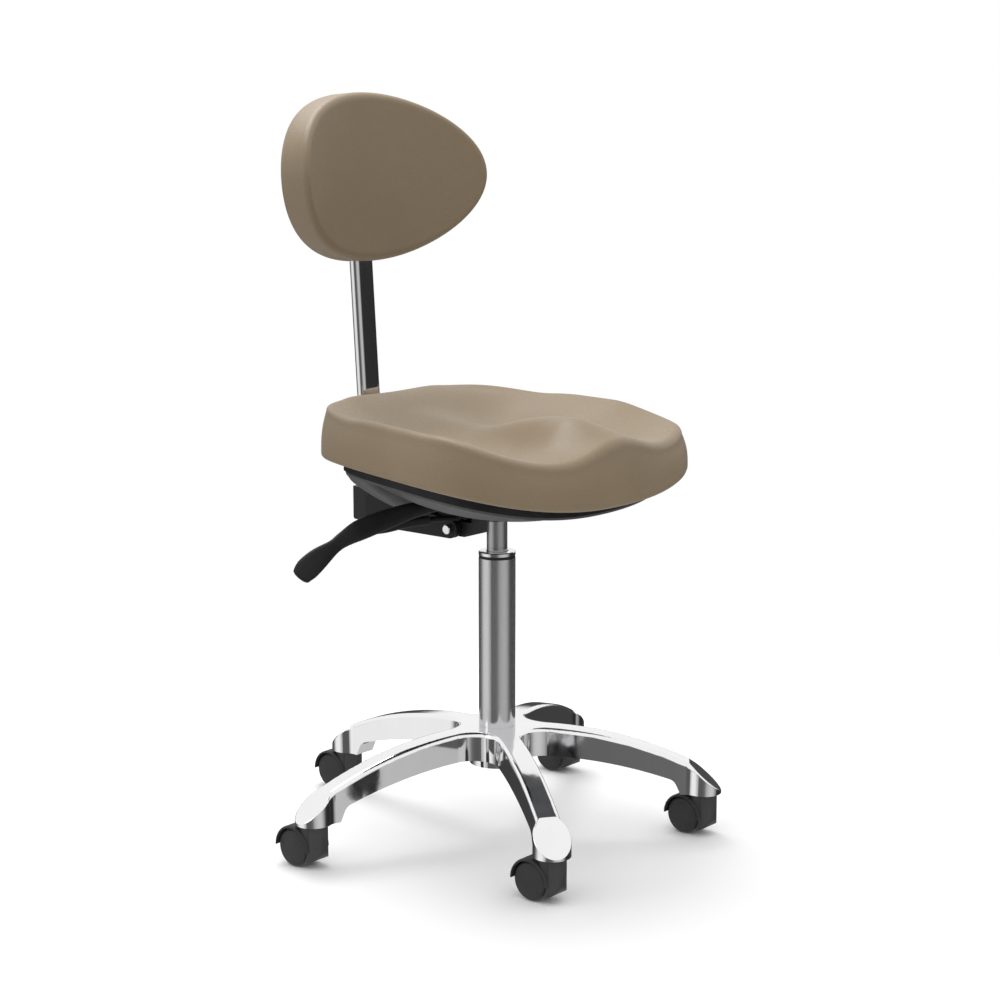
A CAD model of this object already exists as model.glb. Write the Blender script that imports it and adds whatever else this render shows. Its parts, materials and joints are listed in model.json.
"""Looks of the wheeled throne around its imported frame.

Five new pieces (seat cushion, under-seat cover, back pad and two lever grips) and the finish of every
part that is carried over. Metres, +Z up, sitter facing -Y. Shape sizes are in millimetres, times MM."""
import json
import math

import bmesh
import bpy
from mathutils import Matrix, Vector


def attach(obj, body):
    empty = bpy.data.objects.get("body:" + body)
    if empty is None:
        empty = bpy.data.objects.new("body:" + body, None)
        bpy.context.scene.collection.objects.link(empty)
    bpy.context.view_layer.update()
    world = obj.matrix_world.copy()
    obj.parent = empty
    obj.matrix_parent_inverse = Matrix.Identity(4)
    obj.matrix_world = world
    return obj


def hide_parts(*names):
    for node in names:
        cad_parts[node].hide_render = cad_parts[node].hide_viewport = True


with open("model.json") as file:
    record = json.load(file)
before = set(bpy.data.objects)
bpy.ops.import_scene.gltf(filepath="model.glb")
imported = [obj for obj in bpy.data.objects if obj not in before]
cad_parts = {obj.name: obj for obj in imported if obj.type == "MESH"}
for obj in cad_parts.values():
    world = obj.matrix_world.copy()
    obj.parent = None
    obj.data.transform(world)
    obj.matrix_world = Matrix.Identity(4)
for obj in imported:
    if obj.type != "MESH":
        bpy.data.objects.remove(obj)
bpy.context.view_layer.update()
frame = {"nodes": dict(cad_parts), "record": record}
MM = 0.001

# ---- camera, light and floor ----
CAMERA_PLACE = (-2.120, -1.779, 0.961)
CAMERA_TURN = (79.78, 0.0, -50.08)
CAMERA_LENS = 75.3
FLOOR_R = 1.5
FLOOR_FADE_FROM = 0.55       # distance at which the floor begins to fade into the surroundings
FLOOR_STEPS = 96
FLOOR_TONES = (0.96, 0.98)


def set_camera():
    """Camera at the object's three-quarter view from the sitter's front right."""
    data = bpy.data.cameras.new("view_camera")
    data.lens = CAMERA_LENS
    data.sensor_width = 36.0
    data.clip_end = 50.0
    camera = bpy.data.objects.new("view_camera", data)
    bpy.context.scene.collection.objects.link(camera)
    camera.location = CAMERA_PLACE
    camera.rotation_euler = [math.radians(a) for a in CAMERA_TURN]
    bpy.context.scene.camera = camera


class Tree:
    """A node tree with short calls for adding and joining nodes."""

    def __init__(self, tree):
        self.tree = tree
        self.nodes = tree.nodes
        self.nodes.clear()

    def add(self, kind, inputs=None, **settings):
        """New node; an input is given a value or is joined to another node's socket."""
        node = self.nodes.new(kind)
        for key, value in settings.items():
            setattr(node, key, value)
        for key, value in (inputs or {}).items():
            if isinstance(value, bpy.types.NodeSocket):
                self.tree.links.new(value, node.inputs[key])
            else:
                node.inputs[key].default_value = value
        return node

    def math(self, operation, *values):
        return self.add("ShaderNodeMath", dict(enumerate(values)), operation=operation).outputs[0]

    def band(self, value, low, high, to_low=0.0, to_high=1.0):
        """Smooth step of value from to_low at low to to_high at high."""
        inputs = {"Value": value, "From Min": low, "From Max": high, "To Min": to_low, "To Max": to_high}
        return self.add("ShaderNodeMapRange", inputs, interpolation_type="SMOOTHSTEP").outputs[0]

    def mix(self, factor, a, b):
        """Colour between a and b."""
        node = self.add("ShaderNodeMix", data_type="RGBA")
        for key, value in ((0, factor), (6, a), (7, b)):
            if isinstance(value, bpy.types.NodeSocket):
                self.tree.links.new(value, node.inputs[key])
            else:
                node.inputs[key].default_value = value
        return node.outputs[2]


# studio walls that polished metal shows: azimuth in degrees and brightness
STUDIO_RING = (
    (-180, 0.13), (-168, 0.10), (-140, 0.10), (-126, 0.45),
    (-105, 0.62), (-80, 0.62), (-62, 0.20), (-52, 0.02),
    (-20, 0.02), (10, 0.08), (60, 0.05), (95, 0.04),
    (112, 0.35), (128, 0.95), (160, 1.0), (172, 0.50),
)
WHITE = (1.0, 1.0, 1.0, 1.0)
CEILING_FROM, CEILING_FULL = 0.02, 0.16      # heights between which the walls turn into white ceiling
GROUND_FULL, GROUND_FROM = -0.62, -0.40      # and, further down, into pale ground
GROUND_SHARE = 0.55
SOFT_LOW, SOFT_HIGH = 0.42, 1.15             # light on matte surfaces from below and from above


def set_world():
    """White to the camera, soft light from above, and a ring of studio walls to polished metal."""
    world = bpy.data.worlds.new("studio")
    bpy.context.scene.world = world
    world.use_nodes = True
    t = Tree(world.node_tree)
    direction = t.add("ShaderNodeTexCoord").outputs["Generated"]
    parts = t.add("ShaderNodeSeparateXYZ", {0: direction})
    height = parts.outputs["Z"]
    turn = t.math("ARCTAN2", parts.outputs["Y"], parts.outputs["X"])
    around = t.math("ADD", t.math("MULTIPLY", turn, 0.5 / math.pi), 0.5)
    ring = t.add("ShaderNodeValToRGB", {"Fac": around})
    ramp = ring.color_ramp
    ramp.interpolation = "B_SPLINE"
    for i, (azimuth, level) in enumerate(STUDIO_RING):
        at = (azimuth + 180) / 360
        stop = ramp.elements[i] if i < 2 else ramp.elements.new(at)
        stop.position = at
        stop.color = (level, level, level, 1.0)
    walls = ring.outputs["Color"]
    ceiling = t.band(height, CEILING_FROM, CEILING_FULL)
    ground = t.band(height, GROUND_FULL, GROUND_FROM, 1.0, 0.0)
    open_sky = t.math("MAXIMUM", ceiling, t.math("MULTIPLY", ground, GROUND_SHARE))
    mirrored = t.mix(open_sky, walls, WHITE)
    soft = t.band(height, -0.2, 0.9, SOFT_LOW, SOFT_HIGH)
    soft_colour = t.add("ShaderNodeCombineColor", {0: soft, 1: soft, 2: soft}).outputs[0]
    path = t.add("ShaderNodeLightPath")
    seen = t.mix(path.outputs["Is Glossy Ray"], soft_colour, mirrored)
    seen = t.mix(path.outputs["Is Camera Ray"], seen, WHITE)
    background = t.add("ShaderNodeBackground", {"Color": seen, "Strength": 1.0})
    t.add("ShaderNodeOutputWorld", {"Surface": background.outputs[0]})


def area_light(name, place, target, size, power):
    """Round soft light at a place, turned to its target."""
    data = bpy.data.lights.new(name, "AREA")
    data.shape = "DISK"
    data.size = size
    data.energy = power
    light = bpy.data.objects.new(name, data)
    bpy.context.scene.collection.objects.link(light)
    light.location = place
    aim = Vector(target) - Vector(place)
    light.rotation_euler = aim.to_track_quat("-Z", "Y").to_euler()


def set_floor():
    """Pale floor with the object's soft shadows; it fades outwards and is not mirrored in the metal."""
    mesh = bpy.data.meshes.new("studio_floor")
    rim = []
    for i in range(FLOOR_STEPS):
        a = 2 * math.pi * i / FLOOR_STEPS
        rim.append((FLOOR_R * math.cos(a), FLOOR_R * math.sin(a), 0.0))
    mesh.from_pydata(rim, [], [list(range(FLOOR_STEPS))])
    floor = bpy.data.objects.new("studio_floor", mesh)
    bpy.context.scene.collection.objects.link(floor)
    material = bpy.data.materials.new("pale_floor")
    material.use_nodes = True
    t = Tree(material.node_tree)
    place = t.add("ShaderNodeTexCoord").outputs["Object"]
    away = t.add("ShaderNodeVectorMath", {0: place}, operation="LENGTH").outputs["Value"]
    fade = t.band(away, FLOOR_FADE_FROM, FLOOR_R - 0.05)
    speck = t.add("ShaderNodeTexNoise", {"Vector": place, "Scale": 3.0, "Detail": 3.0}).outputs["Fac"]
    tone = t.band(speck, 0.3, 0.7, *FLOOR_TONES)
    colour = t.add("ShaderNodeCombineColor", {0: tone, 1: tone, 2: tone}).outputs[0]
    look = {"Base Color": colour, "Roughness": 0.75, "Specular IOR Level": 0.15}
    matte = t.add("ShaderNodeBsdfPrincipled", look)
    white = t.add("ShaderNodeBsdfTransparent")
    mirrored = t.add("ShaderNodeLightPath").outputs["Is Glossy Ray"]
    hidden = t.math("MAXIMUM", fade, mirrored)
    mixed = t.add("ShaderNodeMixShader", {0: hidden, 1: matte.outputs[0], 2: white.outputs[0]})
    t.add("ShaderNodeOutputMaterial", {"Surface": mixed.outputs[0]})
    mesh.materials.append(material)


set_camera()
set_world()
area_light("ceiling", (0.35, 0.9, 2.6), (0.0, 0.0, 0.45), 1.5, 30.0)
area_light("fill", (-2.4, 1.4, 1.5), (0.0, 0.0, 0.6), 1.2, 5.0)
set_floor()
scene = bpy.context.scene
scene.view_settings.view_transform = "Standard"
scene.view_settings.look = "None"


# ---- materials ----
def surface(name, colour, roughness, metallic=0.0, **sockets):
    """A new material: its tree, its Principled shader and its object coordinates."""
    material = bpy.data.materials.new(name)
    material.use_nodes = True
    t = Tree(material.node_tree)
    shader = t.add("ShaderNodeBsdfPrincipled")
    shader.inputs["Base Color"].default_value = (*colour, 1.0)
    shader.inputs["Roughness"].default_value = roughness
    shader.inputs["Metallic"].default_value = metallic
    for key, value in sockets.items():
        shader.inputs[key.replace("_", " ")].default_value = value
    t.add("ShaderNodeOutputMaterial", {"Surface": shader.outputs[0]})
    return material, t, shader, t.add("ShaderNodeTexCoord").outputs["Object"]


def noise(t, place, scale, detail=4.0, rough=0.55):
    inputs = {"Vector": place, "Scale": scale, "Detail": detail, "Roughness": rough}
    return t.add("ShaderNodeTexNoise", inputs).outputs["Fac"]


def vary(t, shader, factor, dark, light):
    """Base colour between two tones."""
    t.tree.links.new(t.mix(factor, (*dark, 1.0), (*light, 1.0)), shader.inputs["Base Color"])


def rough_between(t, shader, factor, low, high):
    t.tree.links.new(t.band(factor, 0.3, 0.7, low, high), shader.inputs["Roughness"])


def bump(t, shader, height, distance, strength=1.0, under=None):
    inputs = {"Height": height, "Distance": distance, "Strength": strength}
    if under is not None:
        inputs["Normal"] = under
    normal = t.add("ShaderNodeBump", inputs).outputs[0]
    t.tree.links.new(normal, shader.inputs["Normal"])
    return normal


LEATHER_PLAIN = (0.33, 0.255, 0.155)         # for viewers that show no procedural tones
LEATHER_DARK = (0.240, 0.178, 0.108)
LEATHER_LIGHT = (0.272, 0.205, 0.128)


def leather():
    """Taupe artificial leather: small pebble grain with fine pores and a slight unevenness of tone."""
    material, t, shader, place = surface("taupe_leather", LEATHER_PLAIN, 0.5)
    shader.inputs["Specular IOR Level"].default_value = 0.42
    shader.inputs["Sheen Weight"].default_value = 0.06
    shader.inputs["Sheen Roughness"].default_value = 0.5
    warp = t.add("ShaderNodeTexNoise", {"Vector": place, "Scale": 260.0, "Detail": 2.0}).outputs["Color"]
    shifted = t.add("ShaderNodeMix", data_type="VECTOR")
    shifted.inputs[0].default_value = 0.004
    t.tree.links.new(place, shifted.inputs[4])
    t.tree.links.new(warp, shifted.inputs[5])
    inputs = {"Vector": shifted.outputs[1], "Scale": 620.0}
    cells = t.add("ShaderNodeTexVoronoi", inputs, feature="SMOOTH_F1")
    pebbles = t.band(cells.outputs["Distance"], 0.05, 0.62, 1.0, 0.0)
    pores = noise(t, place, 2400.0, 2.0)
    patches = noise(t, place, 9.0, 3.0)
    tone = t.math("ADD", t.math("MULTIPLY", patches, 0.7), t.math("MULTIPLY", pebbles, 0.3))
    vary(t, shader, t.band(tone, 0.25, 0.85), LEATHER_DARK, LEATHER_LIGHT)
    rough_between(t, shader, pebbles, 0.50, 0.40)
    first = bump(t, shader, pebbles, 0.00012, 0.55)
    bump(t, shader, pores, 0.00004, 0.5, first)
    return material


def mirror_metal(name, colour, low, high, smear_scale, wave=0.0):
    """Polished metal with faint wiping smears and, when wave is set, a slightly uneven buffed surface."""
    material, t, shader, place = surface(name, colour, low, 1.0)
    smears = noise(t, place, smear_scale, 5.0, 0.6)
    rough_between(t, shader, smears, low, high)
    darker = tuple(c * 0.93 for c in colour)
    vary(t, shader, noise(t, place, smear_scale * 0.4, 3.0), darker, colour)
    if wave:
        first = bump(t, shader, noise(t, place, 22.0, 2.0), wave, 0.5)
        bump(t, shader, noise(t, place, 900.0, 2.0), 0.00002, 0.4, first)
    return material


def brushed_metal(name, colour, low, high, stretch, depth=0.00003, metallic=1.0):
    """Metal with fine lines: stretch scales the grain along X, Y and Z."""
    material, t, shader, place = surface(name, colour, low, metallic)
    lines = t.add("ShaderNodeMapping", {"Vector": place, "Scale": stretch}).outputs[0]
    grain = noise(t, lines, 1.0, 3.0)
    rough_between(t, shader, grain, low, high)
    vary(t, shader, grain, tuple(c * 0.86 for c in colour), colour)
    bump(t, shader, grain, depth, 0.35)
    return material


def moulded(name, dark, light, low, high, grain_scale, depth, wear=0.0, shine=0.14):
    """Moulded plastic or coated steel: fine even texture, dust in the hollows, wear that lightens edges."""
    material, t, shader, place = surface(name, light, low, Specular_IOR_Level=shine)
    cloud = noise(t, place, 30.0, 4.0)
    grain = noise(t, place, grain_scale, 3.0, 0.6)
    tone = t.math("ADD", t.math("MULTIPLY", cloud, 0.6), t.math("MULTIPLY", grain, 0.4))
    colour = t.mix(t.band(tone, 0.3, 0.7), (*dark, 1.0), (*light, 1.0))
    if wear:
        point = t.add("ShaderNodeNewGeometry").outputs["Pointiness"]
        edge = t.math("MULTIPLY", t.band(point, 0.52, 0.60), wear)
        colour = t.mix(edge, colour, tuple(min(1.0, c * 2.2 + 0.02) for c in light) + (1.0,))
    t.tree.links.new(colour, shader.inputs["Base Color"])
    rough_between(t, shader, cloud, low, high)
    bump(t, shader, grain, depth, 0.5)
    return material


def stained_board():
    """Plywood with a black-stained edge: layers show faintly as thin lines."""
    material, t, shader, place = surface("stained_board", (0.02, 0.02, 0.02), 0.55)
    layers = t.add("ShaderNodeTexWave", {"Vector": place, "Scale": 160.0, "Distortion": 1.2, "Detail": 2.0},
                   bands_direction="Z").outputs["Fac"]
    fibres = t.add("ShaderNodeMapping", {"Vector": place, "Scale": (60.0, 60.0, 900.0)}).outputs[0]
    grain = noise(t, fibres, 1.0, 4.0)
    tone = t.math("MULTIPLY", layers, grain)
    vary(t, shader, tone, (0.004, 0.004, 0.004), (0.010, 0.009, 0.009))
    rough_between(t, shader, grain, 0.5, 0.65)
    bump(t, shader, tone, 0.0001, 0.4)
    return material


# grain stretch of brushed metal along X, Y and Z
TURNED = (900.0, 900.0, 40.0)
DRAWN = (700.0, 700.0, 60.0)
FINISHES = {
    "polished_aluminium": mirror_metal("polished_aluminium", (0.90, 0.90, 0.91), 0.05, 0.10, 60.0, 0.0006),
    "chrome": mirror_metal("chrome_plate", (0.80, 0.80, 0.81), 0.03, 0.07, 90.0),
    "chrome_satin": brushed_metal("satin_chrome", (0.43, 0.43, 0.435), 0.20, 0.27, TURNED, metallic=0.72),
    "steel": brushed_metal("plain_steel", (0.55, 0.56, 0.57), 0.28, 0.38, DRAWN),
    "black_steel": moulded(
        "black_powder_coat",
        (0.007, 0.007, 0.007), (0.011, 0.011, 0.012), 0.30, 0.40, 1400.0, 0.00008, 0.25
    ),
    "black_plastic": moulded(
        "black_moulded_plastic",
        (0.013, 0.013, 0.013), (0.021, 0.021, 0.022), 0.34, 0.44, 1100.0, 0.00008, 0.2
    ),
    "grey_plastic": moulded(
        "grey_satin_plastic",
        (0.075, 0.076, 0.078), (0.100, 0.101, 0.104), 0.38, 0.46, 1000.0, 0.00006, 0.1
    ),
    "caster_plastic": moulded(
        "caster_grey_plastic",
        (0.030, 0.030, 0.031), (0.042, 0.042, 0.043), 0.36, 0.46, 900.0, 0.00006, 0.25
    ),
    "upholstery": leather(),
    "board": stained_board(),
}
# the outer column is plated like the bar but left satin
COLUMN_FINISH = brushed_metal("satin_column_chrome", (0.62, 0.62, 0.625), 0.11, 0.16, TURNED, metallic=0.85)

for part in frame["record"]["subparts"]:
    node = frame["nodes"][part["node"]]
    finish = FINISHES[part["material_slot"]]
    if part["node"] == "column_tube":
        finish = COLUMN_FINISH
    if node.material_slots:
        for holder in node.material_slots:
            holder.material = finish
    else:
        node.data.materials.append(finish)


# ---- mesh helpers ----
def new_piece(name, points, faces, slot, body, replaced=()):
    """A smooth-shaded piece in its finish that rides on a body and stands for CAD nodes."""
    mesh = bpy.data.meshes.new(name)
    mesh.from_pydata([tuple(p) for p in points], [], faces)
    mesh.validate()
    mesh.polygons.foreach_set("use_smooth", [True] * len(mesh.polygons))
    piece = bpy.data.objects.new(name, mesh)
    bpy.context.scene.collection.objects.link(piece)
    mesh.materials.append(FINISHES[slot])
    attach(piece, body)
    if replaced:
        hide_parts(*replaced)
    return piece


def outward(piece):
    """Point every face of a closed mesh outwards."""
    bm = bmesh.new()
    bm.from_mesh(piece.data)
    bmesh.ops.recalc_face_normals(bm, faces=bm.faces)
    bm.to_mesh(piece.data)
    bm.free()


def crease(piece, degrees):
    """Keep edges sharper than an angle crisp in smooth shading."""
    bm = bmesh.new()
    bm.from_mesh(piece.data)
    for edge in bm.edges:
        edge.smooth = not (len(edge.link_faces) == 2 and edge.calc_face_angle() > math.radians(degrees))
    bm.to_mesh(piece.data)
    bm.free()


def cut(piece, *cutters):
    """Subtract solids from a piece and remove them."""
    for cutter in cutters:
        modifier = piece.modifiers.new("cut", "BOOLEAN")
        modifier.operation = "DIFFERENCE"
        modifier.solver = "EXACT"
        modifier.object = cutter
    bpy.context.view_layer.update()
    result = bpy.data.meshes.new_from_object(piece.evaluated_get(bpy.context.evaluated_depsgraph_get()))
    piece.modifiers.clear()
    piece.data = result
    for cutter in cutters:
        bpy.data.objects.remove(cutter)


def prism(outline, low, high, place):
    """Cutter solid: a plan outline between two levels, in the frame place."""
    count = len(outline)
    points = [place @ Vector((x, y, z)) for z in (low, high) for x, y in outline]
    faces = [list(range(count))[::-1], list(range(count, 2 * count))]
    faces += [[i, (i + 1) % count, count + (i + 1) % count, count + i] for i in range(count)]
    mesh = bpy.data.meshes.new("cutter")
    mesh.from_pydata([tuple(p) for p in points], [], faces)
    cutter = bpy.data.objects.new("cutter", mesh)
    bpy.context.scene.collection.objects.link(cutter)
    return cutter


def rounded_rectangle(width, depth, radius, centre=(0.0, 0.0), steps=6):
    """Plan outline of a rectangle with round corners."""
    points = []
    for k, (sx, sy) in enumerate(((1, 1), (-1, 1), (-1, -1), (1, -1))):
        for i in range(steps + 1):
            a = math.pi / 2 * (k + i / steps)
            x = centre[0] + sx * (width / 2 - radius) + radius * math.cos(a)
            y = centre[1] + sy * (depth / 2 - radius) + radius * math.sin(a)
            points.append((x, y))
    return points


def round_grid(half):
    """Square grid squeezed into a unit disc: points as (radius, angle), quads, and the rim in order."""
    points = []
    index = {}
    for i in range(-half, half + 1):
        for j in range(-half, half + 1):
            a, b = i / half, j / half
            if a == 0 and b == 0:
                radius, angle = 0.0, 0.0
            elif abs(a) > abs(b):
                radius, angle = a, math.pi / 4 * b / a
            else:
                radius, angle = b, math.pi / 2 - math.pi / 4 * a / b
            index[i, j] = len(points)
            points.append((radius * math.cos(angle), radius * math.sin(angle)))
    quads = [
        (index[i, j], index[i + 1, j], index[i + 1, j + 1], index[i, j + 1])
        for i in range(-half, half)
        for j in range(-half, half)
    ]
    ring = [index[half, j] for j in range(-half, half)]
    ring += [index[i, half] for i in range(half, -half, -1)]
    ring += [index[-half, j] for j in range(half, -half, -1)]
    ring += [index[i, -half] for i in range(-half, half)]
    return points, quads, ring


def closed_form(half, plan_radius, top, wall, bottom):
    """Closed form from a top and a bottom surface joined by wall rings.

    plan_radius(angle, inset) is the outline; top and bottom give a level at (x, y, share of the way to
    the rim); wall lists (inset, level function) rings from the top surface to the bottom surface."""
    disc, quads, rim = round_grid(half)
    points = []
    faces = []

    def face_grid(inset, level, flip):
        start = len(points)
        for u, v in disc:
            share = math.hypot(u, v)
            angle = math.atan2(v, u)
            reach = plan_radius(angle, inset) * share
            x, y = reach * math.cos(angle), reach * math.sin(angle)
            points.append((x, y, level(x, y, share)))
        for quad in quads:
            faces.append([start + k for k in (quad[::-1] if flip else quad)])
        return [start + k for k in rim]

    angles = [math.atan2(disc[k][1], disc[k][0]) for k in rim]
    previous = face_grid(wall[0][0], top, False)
    for inset, level in wall[1:-1]:
        start = len(points)
        for angle in angles:
            reach = plan_radius(angle, inset)
            x, y = reach * math.cos(angle), reach * math.sin(angle)
            points.append((x, y, level(x, y, 1.0)))
        current = list(range(start, start + len(angles)))
        for k in range(len(angles)):
            n = (k + 1) % len(angles)
            faces.append([previous[k], current[k], current[n], previous[n]])
        previous = current
    current = face_grid(wall[-1][0], bottom, True)
    for k in range(len(angles)):
        n = (k + 1) % len(angles)
        faces.append([previous[k], current[k], current[n], previous[n]])
    return points, faces


def bell(x, width):
    """Bell curve of height one."""
    return math.exp(-((x / width) ** 2))


def step(x, low, high):
    """Smooth step from zero at low to one at high."""
    t = min(1.0, max(0.0, (x - low) / (high - low)))
    return t * t * (3 - 2 * t)


# ---- seat: plan outline and pan ----
SEAT_Z = 496.0
SLOPE = 0.09
SEAT_HALF_L = 210.0
SEAT_HALF_W = 228.0
SQUARENESS = 2.9
PAN_R = 1010.0
CUSHION_MIDDLE = 45.6        # thickness of the cushion at its middle
FRONT_RISE = 12.4
BOLSTER = 17.0               # bolsters along both sides
BOLSTER_MORE = 0.03          # the one on -X is fuller by this share of the distance from the middle
BOLSTER_LATER = 60.0         # and ends this much nearer the front
REAR_RISE = 33.8
POMMEL_START = 14.7          # ridge between the thighs: from the middle of the seat,
POMMEL_CREST = 34.2          # to its crest near the front,
POMMEL_FALL = 22.4           # and down to the front edge
POMMEL_W = 44.0
POMMEL_WIDENS = 27.8
POMMEL_TURN = 10.0
CORNER_DROP = 8.0            # the rear corners are rounder than the rest of the edge


def seat_radius(angle, inset):
    """Distance from the seat's middle to its outline in a plan direction, millimetres."""
    cx, cf = math.cos(angle), -math.sin(angle)
    low, high = 100.0, 330.0
    for _ in range(40):
        mid = (low + high) / 2
        q = mid * cf / (SEAT_HALF_L - inset)
        wide = (SEAT_HALF_W - inset) * (1 + 0.14 * q + 0.06 * q * q)
        if abs(mid * cx / wide) ** SQUARENESS + abs(q) ** SQUARENESS > 1:
            high = mid
        else:
            low = mid
    return (low + high) / 2


def pan_level(x, y):
    """Level of the cushion's underside: falls to the front and rises to both sides."""
    return SEAT_Z + SLOPE * y + x * x / (2 * PAN_R)


def seat_relief(x, y):
    """Thickness of the cushion at a point of its top before the edge is rounded."""
    f = -y
    side = abs(x) / 215.0
    level = CUSHION_MIDDLE + FRONT_RISE * step(f, 60, 190)
    late = BOLSTER_LATER * step(-x, 0, 150)
    bolster = BOLSTER + BOLSTER_MORE * max(-x, 0.0)
    level += bolster * step(side, 0.45, 1.0) * (1 - 0.94 * step(f, 28 + late, 141 + late))
    level += REAR_RISE * step(-f, 67, 195) * (1 - 0.22 * step(side, 0.35, 0.95))
    crest = POMMEL_START * step(f, -150, -70) + POMMEL_CREST * step(f, -45, 100)
    crest -= POMMEL_FALL * step(f, 120, 205)
    width = POMMEL_W + POMMEL_WIDENS * step(f, 60, 190)
    return level + crest * bell(x - POMMEL_TURN * step(f, 120, 200), width)


EDGE_R = 11.5
WALL_IN = 7.0                # the wall leans in by this much from its foot to its top
WALL_BULGE = 2.2
WALL_SHARES = (0.15, 0.3, 0.45, 0.6, 0.75, 0.9, 1.0)
FOOT = ((0.8, 2.4), (2.6, 0.7), (5.0, 0.2))      # inset and height of the turned-under lower edge


def build_seat():
    """Cushion with its relief, rounded upper edge, slightly bulging wall and turned-under foot."""
    edge_steps = 7

    def top(x, y, share):
        rear_corner = CORNER_DROP * step(share, 0.84, 1.0) * step(y, 20, 160) * step(abs(x), 60, 190)
        return pan_level(x, y) + seat_relief(x, y) - rear_corner

    def edge(k):
        turn = math.pi / 2 * k / edge_steps
        drop = EDGE_R * (1 - math.cos(turn))
        return (WALL_IN + EDGE_R * (1 - math.sin(turn)), lambda x, y, s: top(x, y, s) - drop)

    def side(share, inset):
        def level(x, y, s):
            high = top(x, y, s) - EDGE_R
            low = pan_level(x, y) + 5.0
            return high + (low - high) * share
        return (inset, level)

    wall = [edge(k) for k in range(edge_steps + 1)]
    wall += [side(s, WALL_IN * (1 - s) - WALL_BULGE * math.sin(math.pi * s)) for s in WALL_SHARES]
    wall += [(i, lambda x, y, s, h=h: pan_level(x, y) + h) for i, h in FOOT]
    lift = FOOT[-1][1]
    points, faces = closed_form(44, seat_radius, top, wall, lambda x, y, s: pan_level(x, y) + lift)
    points = [Vector(p) * MM for p in points]
    piece = new_piece("contoured_seat_cushion", points, faces, "upholstery", "seat", ["seat_cushion"])
    outward(piece)


build_seat()


# ---- under-seat cover: a shallow moulded bowl with a valley for the levers ----
BOARD_T = 12.0
COVER_INSET = 30.0
COVER_WALL = 3.0
FRONT_BOWL = (444.0, 720.0)          # lowest level and how slowly the bowl rises
REAR_BOWL = (430.0, 300.0)
REAR_BOWL_Y = 100.0
BLEND = 8.0
VALLEY_DEPTH = 52.0
CHANNEL = (0.092, 0.300, 0.016, (0.0, 0.090))        # opening for the mechanism: metres
NOTCH = (0.080, 0.080, 0.016, (-0.075, 0.034))       # opening for the levers: metres


def cover_level(x, y):
    """Outer face of the cover: two blended bowls and a valley along the levers."""
    front = FRONT_BOWL[0] + SLOPE * y + (x * x + y * y) / FRONT_BOWL[1]
    rear = REAR_BOWL[0] + (x * x + (y - REAR_BOWL_Y) ** 2) / REAR_BOWL[1]
    level = -BLEND * math.log(math.exp(-front / BLEND) + math.exp(-rear / BLEND))
    line = 38.0 + 0.36 * (-x - 62.0)
    valley = (bell(y - line, 27.0) + 0.45 * bell(y - 76.0, 16.0)) * step(-x, 30.0, 62.0)
    return min(level + VALLEY_DEPTH * min(valley, 1.0), pan_level(x, y) - BOARD_T - 3.4)


def build_cover():
    """Thin cover under the board, with openings for the mechanism and the levers."""
    def under(x, y, s):
        return cover_level(x, y)

    def inside(x, y, s):
        return min(cover_level(x, y) + COVER_WALL, pan_level(x, y) - BOARD_T - 0.3)

    wall = [(COVER_INSET + COVER_WALL, inside)]
    wall += [(COVER_INSET + COVER_WALL, lambda x, y, s: pan_level(x, y) - BOARD_T - 0.3)]
    wall += [(COVER_INSET, lambda x, y, s: pan_level(x, y) - BOARD_T - 0.3)]
    wall += [(COVER_INSET, lambda x, y, s: max(cover_level(x, y), pan_level(x, y) - BOARD_T - 9.0))]
    wall += [(COVER_INSET + 2.0, under)]
    points, faces = closed_form(40, seat_radius, inside, wall, under)
    points = [Vector(p) * MM for p in points]
    piece = new_piece("seat_under_cover", points, faces, "grey_plastic", "seat", ["seat_shell"])
    outward(piece)
    level = Matrix.Identity(4)
    channel = prism(rounded_rectangle(*CHANNEL), 0.40, 0.60, level)
    notch = prism(rounded_rectangle(*NOTCH), 0.39, 0.61, level)
    cut(piece, channel, notch)
    crease(piece, 38)


build_cover()


# ---- back pad: curved, oval, with a pocket for the bar ----
LEAN = math.radians(3.6)
PAD_Z = 887.0
PAD_Y = 244.3 + (PAD_Z - 720.0) * math.tan(LEAN) - 8.8
PAD_HALF_W = 183.0
PAD_HALF_H = 115.0
PAD_BEND = 333.0
PAD_HALF_T = 23.0
PAD_FRONT_R = 11.0
PAD_REAR_R = 10.0
CROWN = 1.5                  # the front swells by this much at its middle
POCKET = (0.0462, 0.0222, 0.009, (0.0, 0.0088))      # for the sleeve on the bar: metres
KNOB_DROP = -0.062                                   # knob below the pad's middle: metres
KNOB_HOLE_R = 0.006
PAD_FRAME = Matrix((
    (1.0, 0.0, 0.0, 0.0),
    (0.0, math.cos(LEAN), math.sin(LEAN), PAD_Y * MM),
    (0.0, -math.sin(LEAN), math.cos(LEAN), PAD_Z * MM),
    (0.0, 0.0, 0.0, 1.0),
))


def pad_radius(angle, inset):
    """Distance from the pad's middle to its oval outline."""
    a, b = PAD_HALF_W - inset, PAD_HALF_H - inset
    return a * b / math.hypot(b * math.cos(angle), a * math.sin(angle))


def bent(x, offset):
    """Distance behind the pad's middle of a point offset rearwards from the bent middle layer."""
    return math.sqrt((PAD_BEND + offset) ** 2 - x * x) - PAD_BEND


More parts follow.
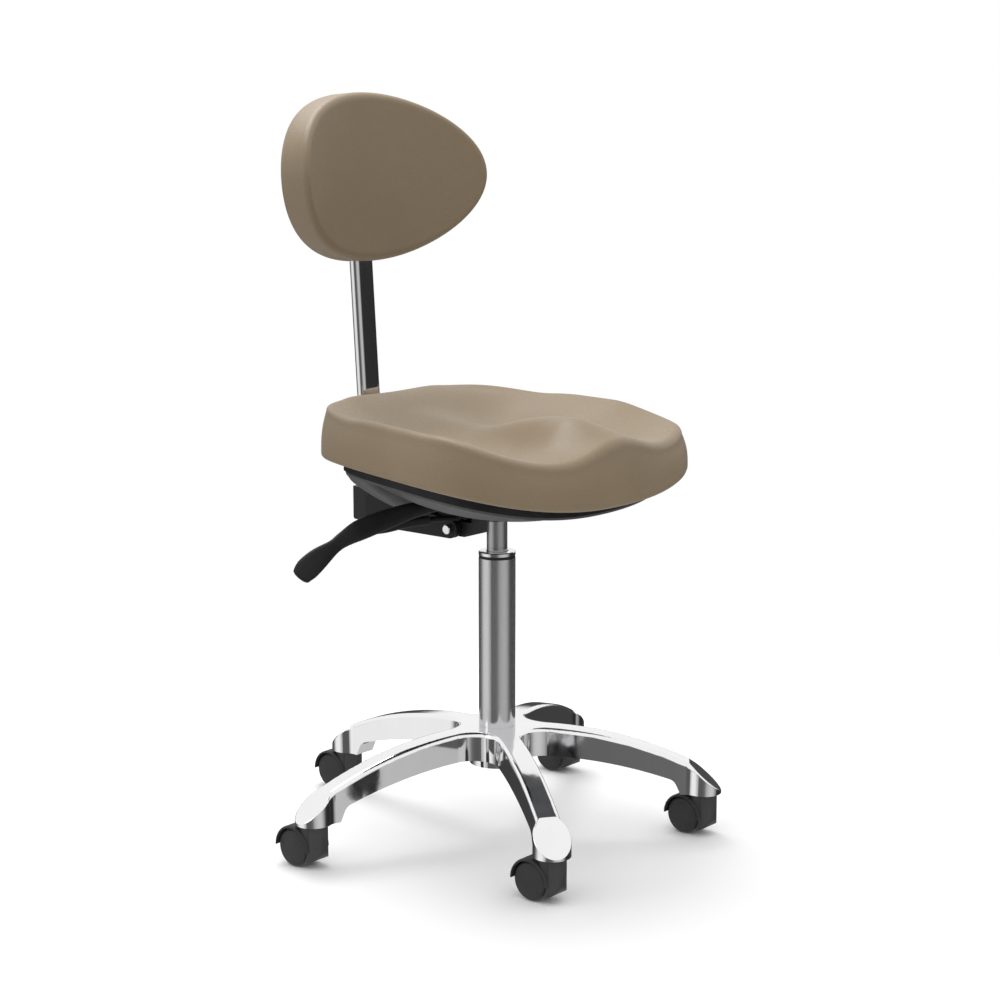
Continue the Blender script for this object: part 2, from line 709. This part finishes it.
def build_pad():
    """Bent oval pad with rounded edges, a pocket for the sleeve and a hole for the knob."""
    steps = 7

    def front(x, y, share):
        return bent(x, -PAD_HALF_T - CROWN * (1 - share**2))

    def rear(x, y, share):
        return bent(x, PAD_HALF_T)

    wall = []
    for k in range(steps + 1):
        turn = math.pi / 2 * k / steps
        offset = -PAD_HALF_T + PAD_FRONT_R * (1 - math.cos(turn))
        wall.append((PAD_FRONT_R * (1 - math.sin(turn)), lambda x, y, s, o=offset: bent(x, o)))
    for k in range(steps + 1):
        turn = math.pi / 2 * k / steps
        offset = PAD_HALF_T - PAD_REAR_R * (1 - math.sin(turn))
        wall.append((PAD_REAR_R * (1 - math.cos(turn)), lambda x, y, s, o=offset: bent(x, o)))
    points, faces = closed_form(40, pad_radius, front, wall, rear)
    # plan of the form is the pad seen from the front: x to the left, y up, level to the rear
    points = [PAD_FRAME @ (Vector((x, z, y)) * MM) for x, y, z in points]
    replaced = ["back_cushion", "pad_board"]
    piece = new_piece("curved_back_pad", points, faces, "upholstery", "back_pad", replaced)
    outward(piece)
    pocket = prism(rounded_rectangle(*POCKET), -0.125, 0.0382, PAD_FRAME)
    angles = [2 * math.pi * i / 24 for i in range(24)]
    hole = [(KNOB_HOLE_R * math.cos(a), KNOB_HOLE_R * math.sin(a)) for a in angles]
    quarter = Matrix.Rotation(math.radians(-90), 4, "X")
    across = PAD_FRAME @ Matrix.Translation((0.0, 0.0, KNOB_DROP)) @ quarter
    cut(piece, pocket, prism(hole, 0.015, 0.06, across))
    crease(piece, 42)


build_pad()


# ---- lever handles: moulded arm, thin waist and leaf-shaped paddle ----
RINGS_PER_SPAN = 12
SECTION_POWER = 2.7
END_POWER = 2.4
END_RINGS = ((2.5, 0.90), (4.25, 0.62), (5.0, 0.28))     # rounded end: distance and size of each ring


def section(centre, side, up, half_w, half_t, power, count=28):
    """Closed ring of points of a rounded section."""
    ring = []
    for i in range(count):
        a = 2 * math.pi * i / count
        c, s = math.cos(a), math.sin(a)
        u = math.copysign(abs(c) ** (2 / power), c)
        v = math.copysign(abs(s) ** (2 / power), s)
        ring.append(centre + side * (u * half_w) + up * (v * half_t))
    return ring


def smooth_between(values, at):
    """Catmull-Rom value between a list's items at a fractional position."""
    k = min(int(at), len(values) - 2)
    t = at - k
    p0, p1 = values[max(k - 1, 0)], values[k]
    p2, p3 = values[k + 1], values[min(k + 2, len(values) - 1)]
    linear = (p2 - p0) * t
    square = (p0 * 2 - p1 * 5 + p2 * 4 - p3) * t * t
    cube = (p1 * 3 - p0 - p2 * 3 + p3) * t**3
    return (p1 * 2 + linear + square + cube) * 0.5


def handle_axes(along, twist):
    """Directions of a handle's thickness and depth; a twist leans its broad face upwards."""
    level = Vector((0, 0, 1)).cross(along).normalized()
    steep = along.cross(level)
    across = level * math.cos(twist) + steep * math.sin(twist)
    return across, along.cross(across)


def build_lever(name, sections, body, replaced):
    """Handle through sections of centre, depth, thickness and twist away from the vertical plane."""
    centres = [Vector(centre) for centre, depth, thickness, twist in sections]
    depths = [depth for centre, depth, thickness, twist in sections]
    thicks = [thickness for centre, depth, thickness, twist in sections]
    twists = [math.radians(twist) for centre, depth, thickness, twist in sections]
    last = len(sections) - 1
    count = RINGS_PER_SPAN * last
    rings = []
    for i in range(count + 1):
        at = last * i / count
        centre = smooth_between(centres, at)
        ahead = smooth_between(centres, min(at + 0.05, last))
        along = (ahead - smooth_between(centres, max(at - 0.05, 0))).normalized()
        across, up = handle_axes(along, smooth_between(twists, at))
        depth = smooth_between(depths, at) / 2
        thick = smooth_between(thicks, at) / 2
        rings.append(section(centre, up, across, depth, thick, SECTION_POWER))
    tip, along = centres[-1], (centres[-1] - centres[-2]).normalized()
    across, up = handle_axes(along, twists[-1])
    for out, share in END_RINGS:
        depth = depths[-1] / 2 * share
        thick = thicks[-1] / 2 * share
        rings.append(section(tip + along * out, up, across, depth, thick, END_POWER))
    points = [p for ring in rings for p in ring]
    n = len(rings[0])
    faces = []
    for r in range(len(rings) - 1):
        for k in range(n):
            m = (k + 1) % n
            faces.append([r * n + k, r * n + m, (r + 1) * n + m, (r + 1) * n + k])
    faces.append(list(range(n))[::-1])
    faces.append(list(range((len(rings) - 1) * n, len(rings) * n)))
    piece = new_piece(name, [p * MM for p in points], faces, "black_plastic", body, replaced)
    outward(piece)
    crease(piece, 60)


build_lever(
    "height_lever_grip",
    [
        ((-66, 38.5, 462), 16, 14, 0), ((-106, 54, 457), 21, 14, 8), ((-143, 67, 449), 26, 13, 20),
        ((-180, 80.5, 438.5), 28, 12, 32), ((-204, 89, 428), 21, 11, 38), ((-219, 92.5, 420), 19, 11, 40),
        ((-243, 95, 409), 28, 10, 40), ((-262, 97, 398), 31, 9.5, 40), ((-273, 98, 390), 26, 8.5, 40),
    ],
    "height_lever",
    ["height_lever_handle"],
)
build_lever(
    "tilt_lever_grip",
    [
        ((-66, 64, 436.5), 13, 11, 0), ((-90, 80, 434), 12, 10, 0), ((-116, 96, 430.5), 16, 9, 10),
        ((-138, 109, 431), 19, 8.5, 15), ((-156, 119.5, 430), 13, 8, 15),
    ],
    "tilt_lever",
    ["tilt_lever_handle"],
)
